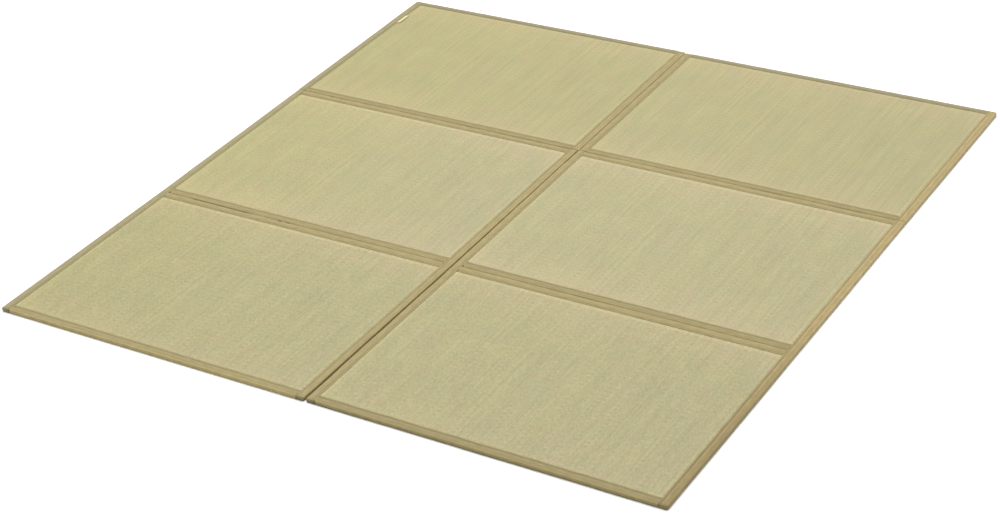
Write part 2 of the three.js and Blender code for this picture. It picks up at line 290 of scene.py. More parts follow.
SIDE_TAPES = {  # by section, column and side; near and far are the colours at those ends
    ("front", "left", "left"): {"near": GREY, "far": GREY, "lightness": 1.0, "rim": LEFT_RIM},
    ("front", "left", "right"): {"near": OCHRE, "far": OCHRE, "lightness": 1.05, "rim": GAP_LEFT_RIM},
    ("front", "right", "left"): {"near": OCHRE, "far": OCHRE, "lightness": 1.07, "rim": GAP_RIGHT_RIM},
    ("front", "right", "right"): {"near": BROWN, "far": ROSY, "lightness": 1.0, "rim": RIGHT_RIM},
    ("back", "left", "left"): {"near": GREY, "far": GREY, "lightness": 0.95, "rim": LEFT_RIM},
    ("back", "left", "right"): {"near": OCHRE, "far": OCHRE, "lightness": 1.03, "rim": TIGHT_LEFT_RIM},
    ("back", "right", "left"): {"near": OCHRE, "far": OCHRE, "lightness": 1.05, "rim": TIGHT_RIGHT_RIM},
    ("back", "right", "right"): {"near": ROSY, "far": ROSY, "lightness": 1.0, "rim": BACK_RIGHT_RIM},
}
PIT_SHADE_INSETS = {"middle": PIT_INSET, "front": 0.0}  # where, in from the outline, painted shade darkens a front tape's near end: in the pit of the middle row, and as a dark notch at the outline of the front row
SLIT_SHADES = {  # by row, column and end: stretches of a tape's rim with painted shade, where the slit between two panels opens
    ("front", "left", "back"): [
        {"start": 60 * MM, "stop": 270 * MM, "gain": 0.22},
        {"start": 342 * MM, "stop": 360 * MM, "gain": 0.02},
        {"start": 366 * MM, "stop": 384 * MM, "gain": 0.02},
    ],
}

# ---- The looks of the tag --------------------------------------------------------------------

TAG_DARK = (240, 229, 170)
TAG_PALE = (248, 239, 186)
TAG_WARP = 0.5 * MM
TAG_WEFT = 0.4 * MM
TAG_NOISE = {"across": 700, "along": 700, "detail": 2}
TAG_ROUGHNESS = 0.8
TAG_BUMP = 0.1 * MM

# ---- The view and the studio -----------------------------------------------------------------

CAMERA = {  # in degrees and metres, with the lens and its sensor in millimetres
    "azimuth": 33.895,
    "elevation": 31.257,
    "roll": -5.209,
    "distance": 5.4455,
    "aim": (0.0713, -0.2079, 0.0),
    "lens": 82.88,
    "sensor": 36.0,
    "clip_end": 100.0,
}
FLOOR = {"size": 40.0, "colour": (0.9, 0.9, 0.9, 1), "roughness": 0.9, "specular": 0.1}
SKY = 0.55
SOFTBOXES = [
    {"name": "overhead", "place": (0.0, 0.0, 5.0), "size": 6.0, "watts": 210},
    {"name": "key", "place": (-2.6, 3.2, 8.0), "size": 4.0, "watts": 560},
]
LIGHT_LEVEL = 1.7  # how many times a level surface's own colour the studio shows it

# ---- Unevenness ------------------------------------------------------------------------------

SEED = 11
WAVE_COUNT = 14

rng = np.random.default_rng(SEED)


def wander(size, shortest, longest, y_rate=0.0):
    """A smooth random function of x and y, mostly within -size to size, made of sine waves.

    y_rate is how fast it varies along y, as a share of how fast along x."""
    turns = 2 * math.pi / rng.uniform(shortest, longest, WAVE_COUNT)
    heading = rng.uniform(0, math.pi, WAVE_COUNT)
    phase = rng.uniform(0, 2 * math.pi, WAVE_COUNT)

    def at(x, y):
        waves = zip(turns * np.cos(heading), turns * np.sin(heading), phase)
        total = sum(np.sin(kx * x + ky * (y_rate * y) + start) for kx, ky, start in waves)
        return size * (total / math.sqrt(WAVE_COUNT))

    return at


# ---- Where the panels lie --------------------------------------------------------------------


def cross(a, b):
    return a[0] * b[1] - a[1] * b[0]


def panel_corners(row, column):
    """The four corners of a panel's outline: front left, front right, back right and back left.

    The rush solid's rim is the outline drawn in by SEAT, with rounded corners, so its four
    long sides are moved out by that much and crossed with each other."""
    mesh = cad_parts[f"rush_{row}_{column}"].data
    points = np.array([vertex.co[:] for vertex in mesh.vertices])
    rim = points[np.abs(points[:, 2] - THICKNESS / 2) < LEVEL_TOLERANCE][:, :2]
    rim = np.unique(rim.round(6), axis=0)
    from_middle = rim - rim.mean(0)
    rim = rim[np.argsort(np.arctan2(from_middle[:, 1], from_middle[:, 0]))]
    along = np.roll(rim, -1, axis=0) - rim
    length = np.hypot(*along.T)
    sides = np.sort(np.argsort(length)[-4:])
    along = along[sides] / length[sides, None]
    starts = rim[sides] + SEAT * np.stack([along[:, 1], -along[:, 0]], 1)
    corners = []
    for i in range(4):
        j = (i + 1) % 4
        reach = cross(starts[j] - starts[i], along[j]) / cross(along[i], along[j])
        corners.append(starts[i] + reach * along[i])
    front_right, back_right, back_left, front_left = corners
    return front_left, front_right, back_right, back_left


CORNERS = {(row, column): panel_corners(row, column) for row in ROWS for column in COLUMNS}


def lay(corners, p, q):
    """Places points of a panel between its corners."""
    a = (p / PANEL_WIDTH)[..., None]
    b = (q / PANEL_DEPTH)[..., None]
    front_left, front_right, back_right, back_left = corners
    near = (1 - a) * front_left + a * front_right
    far = (1 - a) * back_left + a * back_right
    return (1 - b) * near + b * far


# ---- Meshes ----------------------------------------------------------------------------------

SHARP_ANGLE = math.radians(50)


class Shell:
    """Collects the vertices and faces of one closed piece, with a UV in metres for each vertex.

    A coarse grid may border a finer one: chain() notes the fine vertices that lie between two
    coarse ones, and the faces added after it take them in."""

    def __init__(self):
        self.points = []
        self.places = []
        self.faces = []
        self.between = {}
        self.count = 0

    def grid(self, points, places):
        """Adds a grid of vertices and returns their numbers."""
        index = self.count + np.arange(points[..., 0].size).reshape(points.shape[:-1])
        self.points.append(points.reshape(-1, 3))
        self.places.append(places.reshape(-1, 2))
        self.count += index.size
        return index

    def quads(self, index):
        corners = [index[:-1, :-1], index[1:, :-1], index[1:, 1:], index[:-1, 1:]]
        return np.stack(corners, -1).reshape(-1, 4).tolist()

    def fine_faces(self, index):
        self.faces += self.quads(index)

    def chain(self, line, picks):
        for low, high in zip(picks[:-1], picks[1:]):
            inner = line[low + 1 : high].tolist()
            self.between[line[low], line[high]] = inner
            self.between[line[high], line[low]] = inner[::-1]

    def coarse_faces(self, index):
        for quad in self.quads(index):
            face = []
            for start, end in zip(quad, quad[1:] + quad[:1]):
                face.append(start)
                face += self.between.get((start, end), [])
            self.faces.append(face)

    def build(self, name, material):
        """Makes the object: smooth, closed, its faces pointing out, with a "weave" UV map."""
        mesh = bpy.data.meshes.new(name)
        used = np.zeros(self.count, bool)
        used[np.concatenate([np.array(face) for face in self.faces])] = True
        number = np.cumsum(used) - 1
        points = np.concatenate(self.points)[used]
        places = np.concatenate(self.places)[used].astype(np.float32)
        mesh.from_pydata(points.tolist(), [], [number[face].tolist() for face in self.faces])
        shape = bmesh.new()
        shape.from_mesh(mesh)
        bmesh.ops.recalc_face_normals(shape, faces=shape.faces)
        shape.to_mesh(mesh)
        shape.free()
        corner_vertex = np.zeros(len(mesh.loops), np.int32)
        mesh.loops.foreach_get("vertex_index", corner_vertex)
        layer = mesh.uv_layers.new(name="weave")
        layer.data.foreach_set("uv", places[corner_vertex].ravel())
        mesh.shade_smooth()
        mesh.set_sharp_from_angle(angle=SHARP_ANGLE)
        mesh.materials.append(material)
        piece = bpy.data.objects.new(name, mesh)
        bpy.context.scene.collection.objects.link(piece)
        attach(piece, "root")
        return piece


def stations(low, high, step):
    return np.linspace(low, high, max(1, round((high - low) / step)) + 1)


def coarse_picks(count, rim, step):
    """Line numbers of a coarser grid that keeps the first and the last rim lines."""
    middle = np.arange(rim, count - rim, step)
    return np.concatenate([np.arange(rim), middle, np.arange(count - rim, count)])


def with_height(flat, z):
    return np.concatenate([flat, z[..., None]], -1)


def rim_height(inside, bulge, half, power=2.0):
    """How far a rolled rim rises from its middle at a distance inside the outline.

    A power over 2 makes it squarer than an ellipse."""
    share = 1 - np.clip(inside / bulge, 0, 1)
    return half * (1 - share**power) ** (1 / power)


def bell(distance, width):
    return np.exp(-((distance / width) ** 2))


def ramp(value, low, high):
    """0 up to low and 1 from high, with a smooth rise."""
    share = np.clip((value - low) / (high - low), 0, 1)
    return share * share * (3 - 2 * share)


def seam_dip(from_inner):
    """How far the top sinks around a seam, by the distance from the tape's inner edge."""
    return SEAM_DIP * bell(from_inner - SEAM_INSET, SEAM_DIP_WIDTH)


def slump(inside, share):
    """The share of its height that a rim's top has lost, most at the outline."""
    return share * (1 - ramp(inside, 0, SLUMP_REACH))


def corner_pit(a, b):
    """How deep the pit at a cross tape's near end is, where it meets the side tape."""
    return PIT_DEPTH * bell(np.hypot(a - PIT_INSET, b), PIT_WIDTH)


# ---- Node materials --------------------------------------------------------------------------


class Nodes:
    """Short calls that add shader nodes and return their output sockets."""

    def __init__(self, name):
        self.material = bpy.data.materials.new(name)
        self.material.use_nodes = True
        self.tree = self.material.node_tree
        self.shader = self.tree.nodes["Principled BSDF"]

    def add(self, kind, inputs=None, output=0, **settings):
        node = self.tree.nodes.new(kind)
        for key, value in settings.items():
            setattr(node, key, value)
        for key, value in (inputs or {}).items():
            if isinstance(value, bpy.types.NodeSocket):
                self.tree.links.new(value, node.inputs[key])
            else:
                node.inputs[key].default_value = value
        return node.outputs[output]

    def math(self, operation, *values):
        return self.add("ShaderNodeMath", dict(enumerate(values)), operation=operation)

    def mix(self, share, low, high, kind="MIX"):
        return self.add(
            "ShaderNodeMix",
            {0: share, 6: low, 7: high},
            output=2,
            data_type="RGBA",
            blend_type=kind,
        )

    def tint(self, shade, gain, share=1.0):
        """The shade times a colour or a number, to a share."""
        return self.mix(share, shade, gain, "MULTIPLY")

    def point(self, x, y, z=0.0):
        return self.add("ShaderNodeCombineXYZ", {0: x, 1: y, 2: z})

    def noise(self, u, v, across, along, detail, layer=0.0):
        """Noise that varies so many times in a metre of u and of v; layer picks its pattern."""
        place = self.point(self.math("MULTIPLY", u, across), self.math("MULTIPLY", v, along), layer)
        return self.add("ShaderNodeTexNoise", {"Vector": place, "Scale": 1.0, "Detail": detail})

    def chance(self, x, y):
        """One random number from 0 to 1 for each pair of whole numbers."""
        place = self.point(x, y)
        return self.add("ShaderNodeTexWhiteNoise", {"Vector": place}, noise_dimensions="2D")

    def smooth(self, value, low, high, to_low=0.0, to_high=1.0):
        return self.add(
            "ShaderNodeMapRange",
            {"Value": value, 1: low, 2: high, 3: to_low, 4: to_high},
            interpolation_type="SMOOTHSTEP",
        )

    def wave(self, place, length):
        """A sine wave of this length."""
        return self.math("SINE", self.math("MULTIPLY", place, 2 * math.pi / length))

    def weave_place(self):
        """The two numbers of the "weave" UV map, in metres."""
        uv = self.add("ShaderNodeUVMap", uv_map="weave")
        u = self.add("ShaderNodeSeparateXYZ", {0: uv})
        return u, u.node.outputs[1]

    def height_of_place(self):
        """How high above the ground a point of the surface lies."""
        place = self.add("ShaderNodeTexCoord", output="Object")
        return self.add("ShaderNodeSeparateXYZ", {0: place}, output=2)

    def finish(self, colour, roughness, height, distance):
        bump = self.add(
            "ShaderNodeBump", {"Strength": 1.0, "Distance": distance, "Height": height}
        )
        self.tree.links.new(colour, self.shader.inputs["Base Color"])
        self.tree.links.new(bump, self.shader.inputs["Normal"])
        if isinstance(roughness, bpy.types.NodeSocket):
            self.tree.links.new(roughness, self.shader.inputs["Roughness"])
        else:
            self.shader.inputs["Roughness"].default_value = roughness
        return self.material


def seen(red, green, blue, lightness=1.0):
    """The linear colour of a level surface that the studio shows with these 0 to 255 values."""
    def linear(value):
        value /= 255
        return value / 12.92 if value <= 0.04045 else ((value + 0.055) / 1.055) ** 2.4

    share = lightness / LIGHT_LEVEL
    return (share * linear(red), share * linear(green), share * linear(blue), 1.0)


def rush_material(row_name, column):
    """Woven rush. U runs across the stalks and V along them.

    Stalks pass over one row and under the next, so each row shows every second stalk, and a
    stalk's own colour comes back as dashes two rows apart. The stalks are paler towards both
    ends of the panel. A painted highlight makes them paler beside the tapes, and painted shade
    darkens the hollows around each stalk and each pair of rows."""
    n = Nodes(f"rush_{row_name}_{column}")
    u, v = n.weave_place()
    look = PANEL_LOOKS[row_name, column]
    row = n.math("DIVIDE", v, ROW)
    row_number = n.math("FLOOR", row)
    odd = n.math("MODULO", row_number, 2.0)

    sway = n.noise(u, v, **RUSH_NOISES["sway"])
    across = n.math("ADD", n.math("DIVIDE", u, STALK), n.math("MULTIPLY", odd, 0.5))
    across = n.math("ADD", across, n.math("MULTIPLY", sway, STALK_SWAY))
    stalk = n.math("FLOOR", across)
    stalk_tone = n.chance(stalk, odd)
    streak_layer = n.math("MULTIPLY", odd, STREAK_LAYERS)
    streak = n.noise(u, v, layer=streak_layer, **RUSH_NOISES["streak"])
    tone = n.math("ADD", n.math("MULTIPLY", stalk_tone, STALK_SHARE), streak)
    green = seen(*RUSH_GREEN, look["lightness"])
    straw = seen(*RUSH_STRAW, look["lightness"])
    shade = n.mix(n.smooth(tone, *STALK_TONES), green, straw)

    dash = DASH[row_name]
    dash_tone = n.chance(stalk, row_number)
    shade = n.tint(shade, n.smooth(dash_tone, 0.0, 1.0, 1 - dash, 1 + dash))
    for noise, tints in (("blush", BLUSH_TINTS), ("age", AGE_TINTS)):
        patches = n.noise(u, v, **RUSH_NOISES[noise])
        shade = n.tint(shade, n.mix(n.smooth(patches, *NOISE_SPAN), *tints))
    left_tint = (1.0, 1.0, look["blue_left"], 1.0)
    right_tint = (1.0, 1.0, look["blue_right"], 1.0)
    shade = n.tint(shade, n.mix(n.smooth(u, 0.0, PANEL_WIDTH), left_tint, right_tint))
    near = n.smooth(v, 0.0, PALE_END, look["front_end"], 0.0)
    far = n.smooth(v, PANEL_DEPTH - PALE_END, PANEL_DEPTH)
    shade = n.tint(shade, PALE_TINT, n.math("ADD", near, far))

    widths = CROSS_WIDTH[row_name]
    from_tape = {
        "left": n.math("SUBTRACT", u, SIDE_WIDTH),
        "right": n.math("SUBTRACT", PANEL_WIDTH - SIDE_WIDTH, u),
        "front": n.math("SUBTRACT", v, widths["front"]),
        "back": n.math("SUBTRACT", PANEL_DEPTH - widths["back"], v),
    }
    # painted highlight in a band beside each tape
    for side, distance in from_tape.items():
        start = BAND_WIDTH[side]
        painted_highlight = n.smooth(distance, start, start + BAND_FADE, BESIDE_TAPE_HIGHLIGHT[row_name][side], 1.0)
        shade = n.tint(shade, painted_highlight)

    round_stalk = n.math("SINE", n.math("MULTIPLY", n.math("FRACT", across), math.pi))
    round_row = n.math("SINE", n.math("MULTIPLY", n.math("FRACT", row), math.pi))
    body = n.math("POWER", n.math("MULTIPLY", round_stalk, round_row), 0.5)
    round_pair = n.math("ABSOLUTE", n.math("SINE", n.math("MULTIPLY", row, math.pi / 2)))
    # painted shade in the hollows around each stalk and each pair of rows
    for roundness, edge in ((body, STALK_HOLLOW_SHADE), (round_pair, PAIR_HOLLOW_SHADE)):
        shade = n.tint(shade, n.smooth(roundness, 0.0, edge["until"], edge["gain"], 1.0))

    fibre = n.noise(u, v, **RUSH_NOISES["fibre"])
    height = n.math("ADD", body, n.math("MULTIPLY", fibre, FIBRE_RELIEF))
    n.shader.inputs["Specular IOR Level"].default_value = RUSH_SPECULAR
    return n.finish(shade, n.smooth(fibre, *FIBRE_SPAN, *RUSH_ROUGHNESS), height, RUSH_BUMP)


def paint_rim_light_and_shade(n, u, v, shade, width, rim):
    """What a tape's rim adds to its colour: painted light that makes it paler (painted shade where a
    gain is under 1), a warmer tint, and painted shade at its foot.
    """
    on_rim = n.smooth(u, *(width - inset for inset in RIM_BAND))
    # painted light on the rim, or painted shade where the gain is under 1
    gain = n.smooth(v, *TONE_CHANGE, rim["near_painted_light"] - 1, rim["far_painted_light"] - 1)
    shade = n.tint(shade, n.math("ADD", n.math("MULTIPLY", gain, on_rim), 1.0))
    shade = n.tint(shade, RIM_WARM_TINT, n.math("MULTIPLY", on_rim, rim["warmth"]))
    # painted shade at the foot of the rim
    if rim["foot_painted_shade"] < 1:
        foot_shade_tint = (*(rim["foot_painted_shade"] * channel for channel in FOOT_TINT), 1.0)
        painted_foot_shade = n.smooth(n.height_of_place(), 0.0, FOOT_HEIGHT, 1.0, 0.0)
        shade = n.tint(shade, foot_shade_tint, painted_foot_shade)
    return shade


def paint_slit_shade(n, u, v, shade, width, slit_shades):
    """Paints shade on stretches of a tape's rim, where the slit between two panels opens."""
    on_rim = n.smooth(u, *(width - inset for inset in SLIT_SHADE_BAND))
    for slit_shade in slit_shades:
        start = slit_shade["start"]
        stop = slit_shade["stop"]
        gain = slit_shade["gain"]
        soft = min(SLIT_SHADE_FADE, (stop - start) / 3)
        begun = n.smooth(v, start, start + soft)
        ended = n.smooth(v, stop - soft, stop)
        share = n.math("MULTIPLY", n.math("SUBTRACT", begun, ended), on_rim)
        shade = n.tint(shade, (gain, gain, gain, 1.0), share)
    return shade


def paint_pit_shade(n, u, v, shade, width, inset):
    """Paints shade into the pit at a tape's near end."""
    over = n.math("SUBTRACT", u, width - inset)
    away = n.math("SQRT", n.math("ADD", n.math("POWER", over, 2.0), n.math("POWER", v, 2.0)))
    return n.tint(shade, n.smooth(away, *PIT_SHADE_FADE, PIT_SHADE_GAIN, 1.0))


def tape_material(name, width, near_end, far_end, rim, pit_shade_inset=None, slit_shades=(), end_shade_gain=1.0):
    """Woven cotton tape. U is the distance from the tape's inner edge and V runs along it.

    The pit inset is how far inside the outline painted shade darkens a pit at the tape's near end."""
    n = Nodes(name)
    u, v = n.weave_place()
    yarn = n.noise(u, v, **TAPE_NOISES["yarn"])
    cloud = n.noise(u, v, **TAPE_NOISES["cloud"])
    tone = n.math("MULTIPLY", n.math("ADD", yarn, cloud), 0.5)
    shade = n.mix(n.smooth(v, *TONE_CHANGE), near_end, far_end)
    shade = n.tint(shade, n.smooth(tone, *NOISE_SPAN, *TAPE_TONES))
    shade = paint_rim_light_and_shade(n, u, v, shade, width, rim)

    from_seam = n.math("ABSOLUTE", n.math("SUBTRACT", u, SEAM_INSET))
    # painted shade in the groove of the stitches
    shade = n.tint(shade, SEAM_PAINTED_SHADE, n.smooth(from_seam, *SEAM_FADE, 1.0, 0.0))
    # painted highlight on the ridge beside the seam
    from_ridge = n.math("ABSOLUTE", n.math("SUBTRACT", u, RIDGE_PLACE))
    shade = n.tint(shade, n.smooth(from_ridge, *RIDGE_FADE, rim["ridge_highlight"], 1.0))
    inner_tint = (1.0, 1.0, rim["inner_blue"], 1.0)
    shade = n.tint(shade, inner_tint, n.smooth(u, *INNER_FADE, 1.0, 0.0))
    # painted shade at the near end
    shade = n.tint(shade, n.smooth(v, *END_FADE, end_shade_gain, 1.0))
    # painted shade where the slit between two panels opens
    if slit_shades:
        shade = paint_slit_shade(n, u, v, shade, width, slit_shades)
    # painted shade in the pit, or a painted dark notch at the outline
    if pit_shade_inset is not None:
        shade = paint_pit_shade(n, u, v, shade, width, pit_shade_inset)

    stitch = n.smooth(n.wave(v, STITCH), *STITCH_SPAN)
    thread = n.math("MULTIPLY", n.smooth(from_seam, *THREAD_FADE, 1.0, 0.0), stitch)
    shade = n.mix(n.math("MULTIPLY", thread, THREAD_SHARE), shade, seen(*THREAD))
    weave = n.math("MULTIPLY", n.wave(u, TAPE_WARP), n.wave(v, TAPE_WEFT))
    height = n.math("MULTIPLY", weave, TAPE_RELIEF["weave"])
    height = n.math("ADD", height, n.math("MULTIPLY", yarn, TAPE_RELIEF["yarn"]))
    height = n.math("ADD", height, n.math("MULTIPLY", thread, TAPE_RELIEF["thread"]))
    n.shader.inputs["Sheen Weight"].default_value = TAPE_SHEEN
    n.shader.inputs["Specular IOR Level"].default_value = TAPE_SPECULAR
    return n.finish(shade, TAPE_ROUGHNESS, height, TAPE_BUMP)


def tag_material():
    n = Nodes("tag_ribbon")
    u, v = n.weave_place()
    speck = n.noise(u, v, **TAG_NOISE)
    shade = n.mix(n.smooth(speck, *NOISE_SPAN), seen(*TAG_DARK), seen(*TAG_PALE))
    height = n.math("MULTIPLY", n.wave(u, TAG_WARP), n.wave(v, TAG_WEFT))
    return n.finish(shade, TAG_ROUGHNESS, height, TAG_BUMP)


# ---- The rush panels -------------------------------------------------------------------------


def under_tape(width):
    """Distances in from a panel's side, from its rim to where the open face begins."""
    rim = SEAT + (RIM_BULGE - SEAT) * RIM_SHARES
    return np.concatenate([rim, width - VALLEY_LINES, [width + CLEARANCE, width + FACE_SLOPE]])


def rush_lines(widths):
    """Where the mesh lines of a panel run: those of p and those of q."""
    face_front = widths["front"] + FACE_SLOPE
    face_back = PANEL_DEPTH - widths["back"] - FACE_SLOPE
    row_lines = np.arange(math.ceil(face_front / ROW) * ROW_STEPS, face_back / ROW * ROW_STEPS)
    q_lines = np.concatenate([
        under_tape(widths["front"]),
        row_lines[1:] * ROW / ROW_STEPS,
        PANEL_DEPTH - under_tape(widths["back"])[::-1],
    ])
    shoulder = SIDE_WIDTH + FACE_SLOPE + SHOULDER_LINES
    p_lines = np.concatenate([
        under_tape(SIDE_WIDTH)[:-1],
        shoulder,
        stations(shoulder[-1], PANEL_WIDTH - shoulder[-1], RUSH_STEP)[1:-1],
        PANEL_WIDTH - shoulder[::-1],
        PANEL_WIDTH - under_tape(SIDE_WIDTH)[-2::-1],
    ])
    return p_lines, q_lines


def rush_profile(inside, width, half, sink=0.0):
    """How far a face of the rush stands from its middle, by the distance in from one side."""
    seat = rim_height(inside - SEAT, RIM_BULGE - SEAT, SEAT_HALF)
    seat += (half - SEAT_HALF) * ramp(inside, width + CLEARANCE, width + FACE_SLOPE)
    return seat * (1 - slump(inside, sink))


def rush_faces(row, column, widths, p, q):
    """How far the top and the underside of a panel stand from its middle."""
    from_side = {"left": p, "right": PANEL_WIDTH - p, "front": q, "back": PANEL_DEPTH - q}
    rims = {side: SIDE_TAPES[SECTION_OF[row], column, side]["rim"] for side in COLUMNS}
    rims.update({end: CROSS_TAPES[row, column, end]["rim"] for end in ENDS})
    top_half = RUSH_TOP - THICKNESS / 2
    top = np.minimum.reduce([
        rush_profile(inside, widths[side], top_half, rims[side]["slump"])
        for side, inside in from_side.items()
    ])
    face = np.clip((top - SEAT_HALF) / (top_half - SEAT_HALF), 0, 1)
    for side, inside in from_side.items():
        top -= ramp(inside, *DIP_START) * seam_dip(widths[side] - inside)
    groove = np.round(q / ROW)
    depth = np.where(groove % 2 == 0, DEEP_GROOVE, SHALLOW_GROOVE)
    patchy = 1 + wander(**RUSH_WAVES["grooves"])(p, q)
    relief = wander(**RUSH_WAVES["face"])(p, q)
    top += face * (relief - patchy * depth * bell(q - groove * ROW, GROOVE_WIDTH))
    if row == "middle":
        top -= ramp(q, *PIT_START) * corner_pit(q, p - SIDE_WIDTH - CLEARANCE)
    bottom = np.minimum.reduce([
        rush_profile(inside, widths[side], THICKNESS / 2) for side, inside in from_side.items()
    ])
    return top, bottom


def make_rush(row, column):
    widths = {"left": SIDE_WIDTH, "right": SIDE_WIDTH, **CROSS_WIDTH[row]}
    p_lines, q_lines = rush_lines(widths)
    q, p = np.meshgrid(q_lines, p_lines, indexing="ij")
    top, bottom = rush_faces(row, column, widths, p, q)
    flat = lay(CORNERS[row, column], p, q)
    place = np.stack([p, q], -1)
    shell = Shell()
    above = shell.grid(with_height(flat, THICKNESS / 2 + top), place)
    shell.fine_faces(above)

    # The underside has fewer lines, and shares its rim with the top.
    rim_lines = len(under_tape(SIDE_WIDTH))
    p_picks = coarse_picks(len(p_lines), rim_lines, UNDER_STEPS["p"])
    q_picks = coarse_picks(len(q_lines), rim_lines, UNDER_STEPS["q"])
    picked = np.ix_(q_picks, p_picks)
    below = shell.grid(with_height(flat, THICKNESS / 2 - bottom)[picked], place[picked])
    for edge in (0, -1):
        below[edge, :] = above[edge, p_picks]
        below[:, edge] = above[q_picks, edge]
        shell.chain(above[edge, :], p_picks)
        shell.chain(above[:, edge], q_picks)
    shell.coarse_faces(below)

    piece = shell.build(f"rush_mat_{row}_{column}", rush_material(row, column))
    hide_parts(f"rush_{row}_{column}")


# ---- The bindings ----------------------------------------------------------------------------


def rounded(a, b, length, corners):
    """Fits a tape's grid into its outline, which has rounded corners where its ends close.

    corners are the radii at the near and the far end. Returns the fitted a and b, and how far
    inside the outline each point is."""
    if not corners:
        return a, b, a
    near = 2 * b < length
    radius = np.where(near, corners[0], corners[1])
    from_end = np.where(near, b, length - b)
    x = np.clip(1 - a / radius, 0, 1)
    y = np.clip(1 - from_end / radius, 0, 1)
    x_round = x * np.sqrt(1 - y**2 / 2)
    y_round = y * np.sqrt(1 - x**2 / 2)
    corner = (x > 0) & (y > 0)
    to_corner = radius * (1 - np.hypot(x_round, y_round))
    inside = np.where(corner, to_corner, np.minimum(a, from_end))
    a_fit = np.where(x > 0, radius * (1 - x_round), a)
    end_fit = np.where(y > 0, radius * (1 - y_round), from_end)
    return a_fit, np.where(near, end_fit, length - end_fit), inside


def tape_lines(width, length, power, closed):
    """Where a tape's mesh lines run across and along it, and which of them its coarse faces use."""
    turn = np.linspace(0, math.pi / 2, RIM_STEPS + 1)
    arc = RIM_BULGE * (1 - np.cos(turn) ** (2 / power))
    level = stations(RIM_BULGE, width - TAPE_EDGE, TAPE_STEP_ACROSS)
    across = np.concatenate([arc, level[1:], [width]])
    rim_picks = np.arange(0, RIM_STEPS + 1, RIM_COARSENESS)
    a_picks = np.concatenate([rim_picks, [COARSE_TOP_LINE, len(across) - 1]])
    if closed:
        end = np.concatenate([arc, [LAST_END_LINE]])
        run = stations(FIRST_RUN_LINE, length - FIRST_RUN_LINE, TAPE_STEP_ALONG)
        along = np.concatenate([end, run, length - end[::-1]])
        b_picks = coarse_picks(len(along), len(end), RUN_COARSENESS)
    else:
        along = stations(0, length, TAPE_STEP_ALONG)
        b_picks = coarse_picks(len(along), 1, RUN_COARSENESS)
    return across, along, a_picks, b_picks


def make_tape(name, node, width, length, corners, place, material, rim, dent=None):
    """A tape folded over the rim of a panel, as a channel of cloth that is open on its inner side.

    corners are the radii of its two ends in plan, or None when its ends are open. place() takes
    a and b to where they lie, and dent() takes them to how far the top sinks there."""
    closed = corners is not None
    across, along, a_picks, b_picks = tape_lines(width, length, rim["power"], closed)
    waves = {kind: wander(**wave) for kind, wave in TAPE_WAVES.items()}

    def face(a_lines, b_lines, inset, up):
        """One face of the tape, drawn in by inset from its outside."""
        b, a = np.meshgrid(b_lines, a_lines, indexing="ij")
        a_fit, b_fit, inside = rounded(a, b, length, corners)
        uneven = {kind: wave(b_fit, a_fit) for kind, wave in waves.items()}
        bulge = RIM_BULGE - inset
        half = THICKNESS / 2 - inset
        height = rim_height(inside / RIM_BULGE * bulge, bulge, half, rim["power"])
        from_inner = width - a_fit
        top = ramp(inside, *TOP_START)
        if up:
            slumped = LEAST_SLUMP + (1 - LEAST_SLUMP) * ramp(uneven["unrest"], *UNREST_SPAN)
            height *= 1 - slump(a_fit, rim["slump"] * slumped)
            height -= top * seam_dip(from_inner)
        if up and not inset:
            crown = np.sin(math.pi * np.clip(inside / (width - SEAM_INSET), 0, 1))
            relief = CROWN * crown - SEAM_DEPTH * bell(from_inner - SEAM_INSET, SEAM_WIDTH)
            relief += uneven["swell"] + uneven["ripple"]
            relief -= EDGE_DROP * (from_inner < TAPE_EDGE / 2)
            height += top * relief
            if dent:
                height -= dent(a_fit, b_fit)
        a_lie = inset + a_fit * (1 - inset / width)
        a_lie += a_fit / width * uneven["edge"] + uneven["bow"]
        b_lie = inset + b_fit * (1 - 2 * inset / length) if closed else b_fit
        sign = 1 if up else -1
        points = with_height(place(a_lie, b_lie), THICKNESS / 2 + sign * height)
        return points, np.stack([from_inner, b_fit], -1)

    shell = Shell()
    top = shell.grid(*face(across, along, 0, True))
    shell.fine_faces(top)
    for edge in (0, -1):
        shell.chain(top[:, edge], b_picks)
        shell.chain(top[edge, :], a_picks)
    coarse = (across[a_picks], along[b_picks])
    over = top[np.ix_(b_picks, a_picks)]
    under = shell.grid(*face(*coarse, 0, False))
    inner_top = shell.grid(*face(*coarse, CLOTH, True))
    inner_under = shell.grid(*face(*coarse, CLOTH, False))
    for upper, lower in ((over, under), (inner_top, inner_under)):
        lower[:, 0] = upper[:, 0]
        if closed:
            lower[0, :] = upper[0, :]
            lower[-1, :] = upper[-1, :]
    for index in (under, inner_top, inner_under):
        shell.coarse_faces(index)
    for outside, inside in ((over, inner_top), (under, inner_under)):
        shell.coarse_faces(np.stack([outside[:, -1], inside[:, -1]], 1))
        if not closed:
            shell.coarse_faces(np.stack([outside[0, :], inside[0, :]], 1))
            shell.coarse_faces(np.stack([outside[-1, :], inside[-1, :]], 1))

    piece = shell.build(name, material)
    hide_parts(node)


def make_cross_tape(row, column, end):
    width = CROSS_WIDTH[row][end]
    start = SIDE_WIDTH + CLEARANCE
    length = PANEL_WIDTH - 2 * start

    def place(a, b):
        return lay(CORNERS[row, column], start + b, a if end == "front" else PANEL_DEPTH - a)

    look = CROSS_TAPES[row, column, end]
    rim = look["rim"]
    tone = seen(*look["colour"], look["lightness"])
    pit_shade_inset = PIT_SHADE_INSETS.get(row) if end == "front" else None
    slit_shades = SLIT_SHADES.get((row, column, end), ())
    name = f"tape_{row}_{column}_{end}"
    material = tape_material(name, width, tone, tone, rim, pit_shade_inset, slit_shades)
    node = f"binding_{row}_{column}_{end}_edge"
    dent = corner_pit if (row, end) == ("middle", "front") else None
    make_tape(f"{name}_edge", node, width, length, None, place, material, rim, dent)


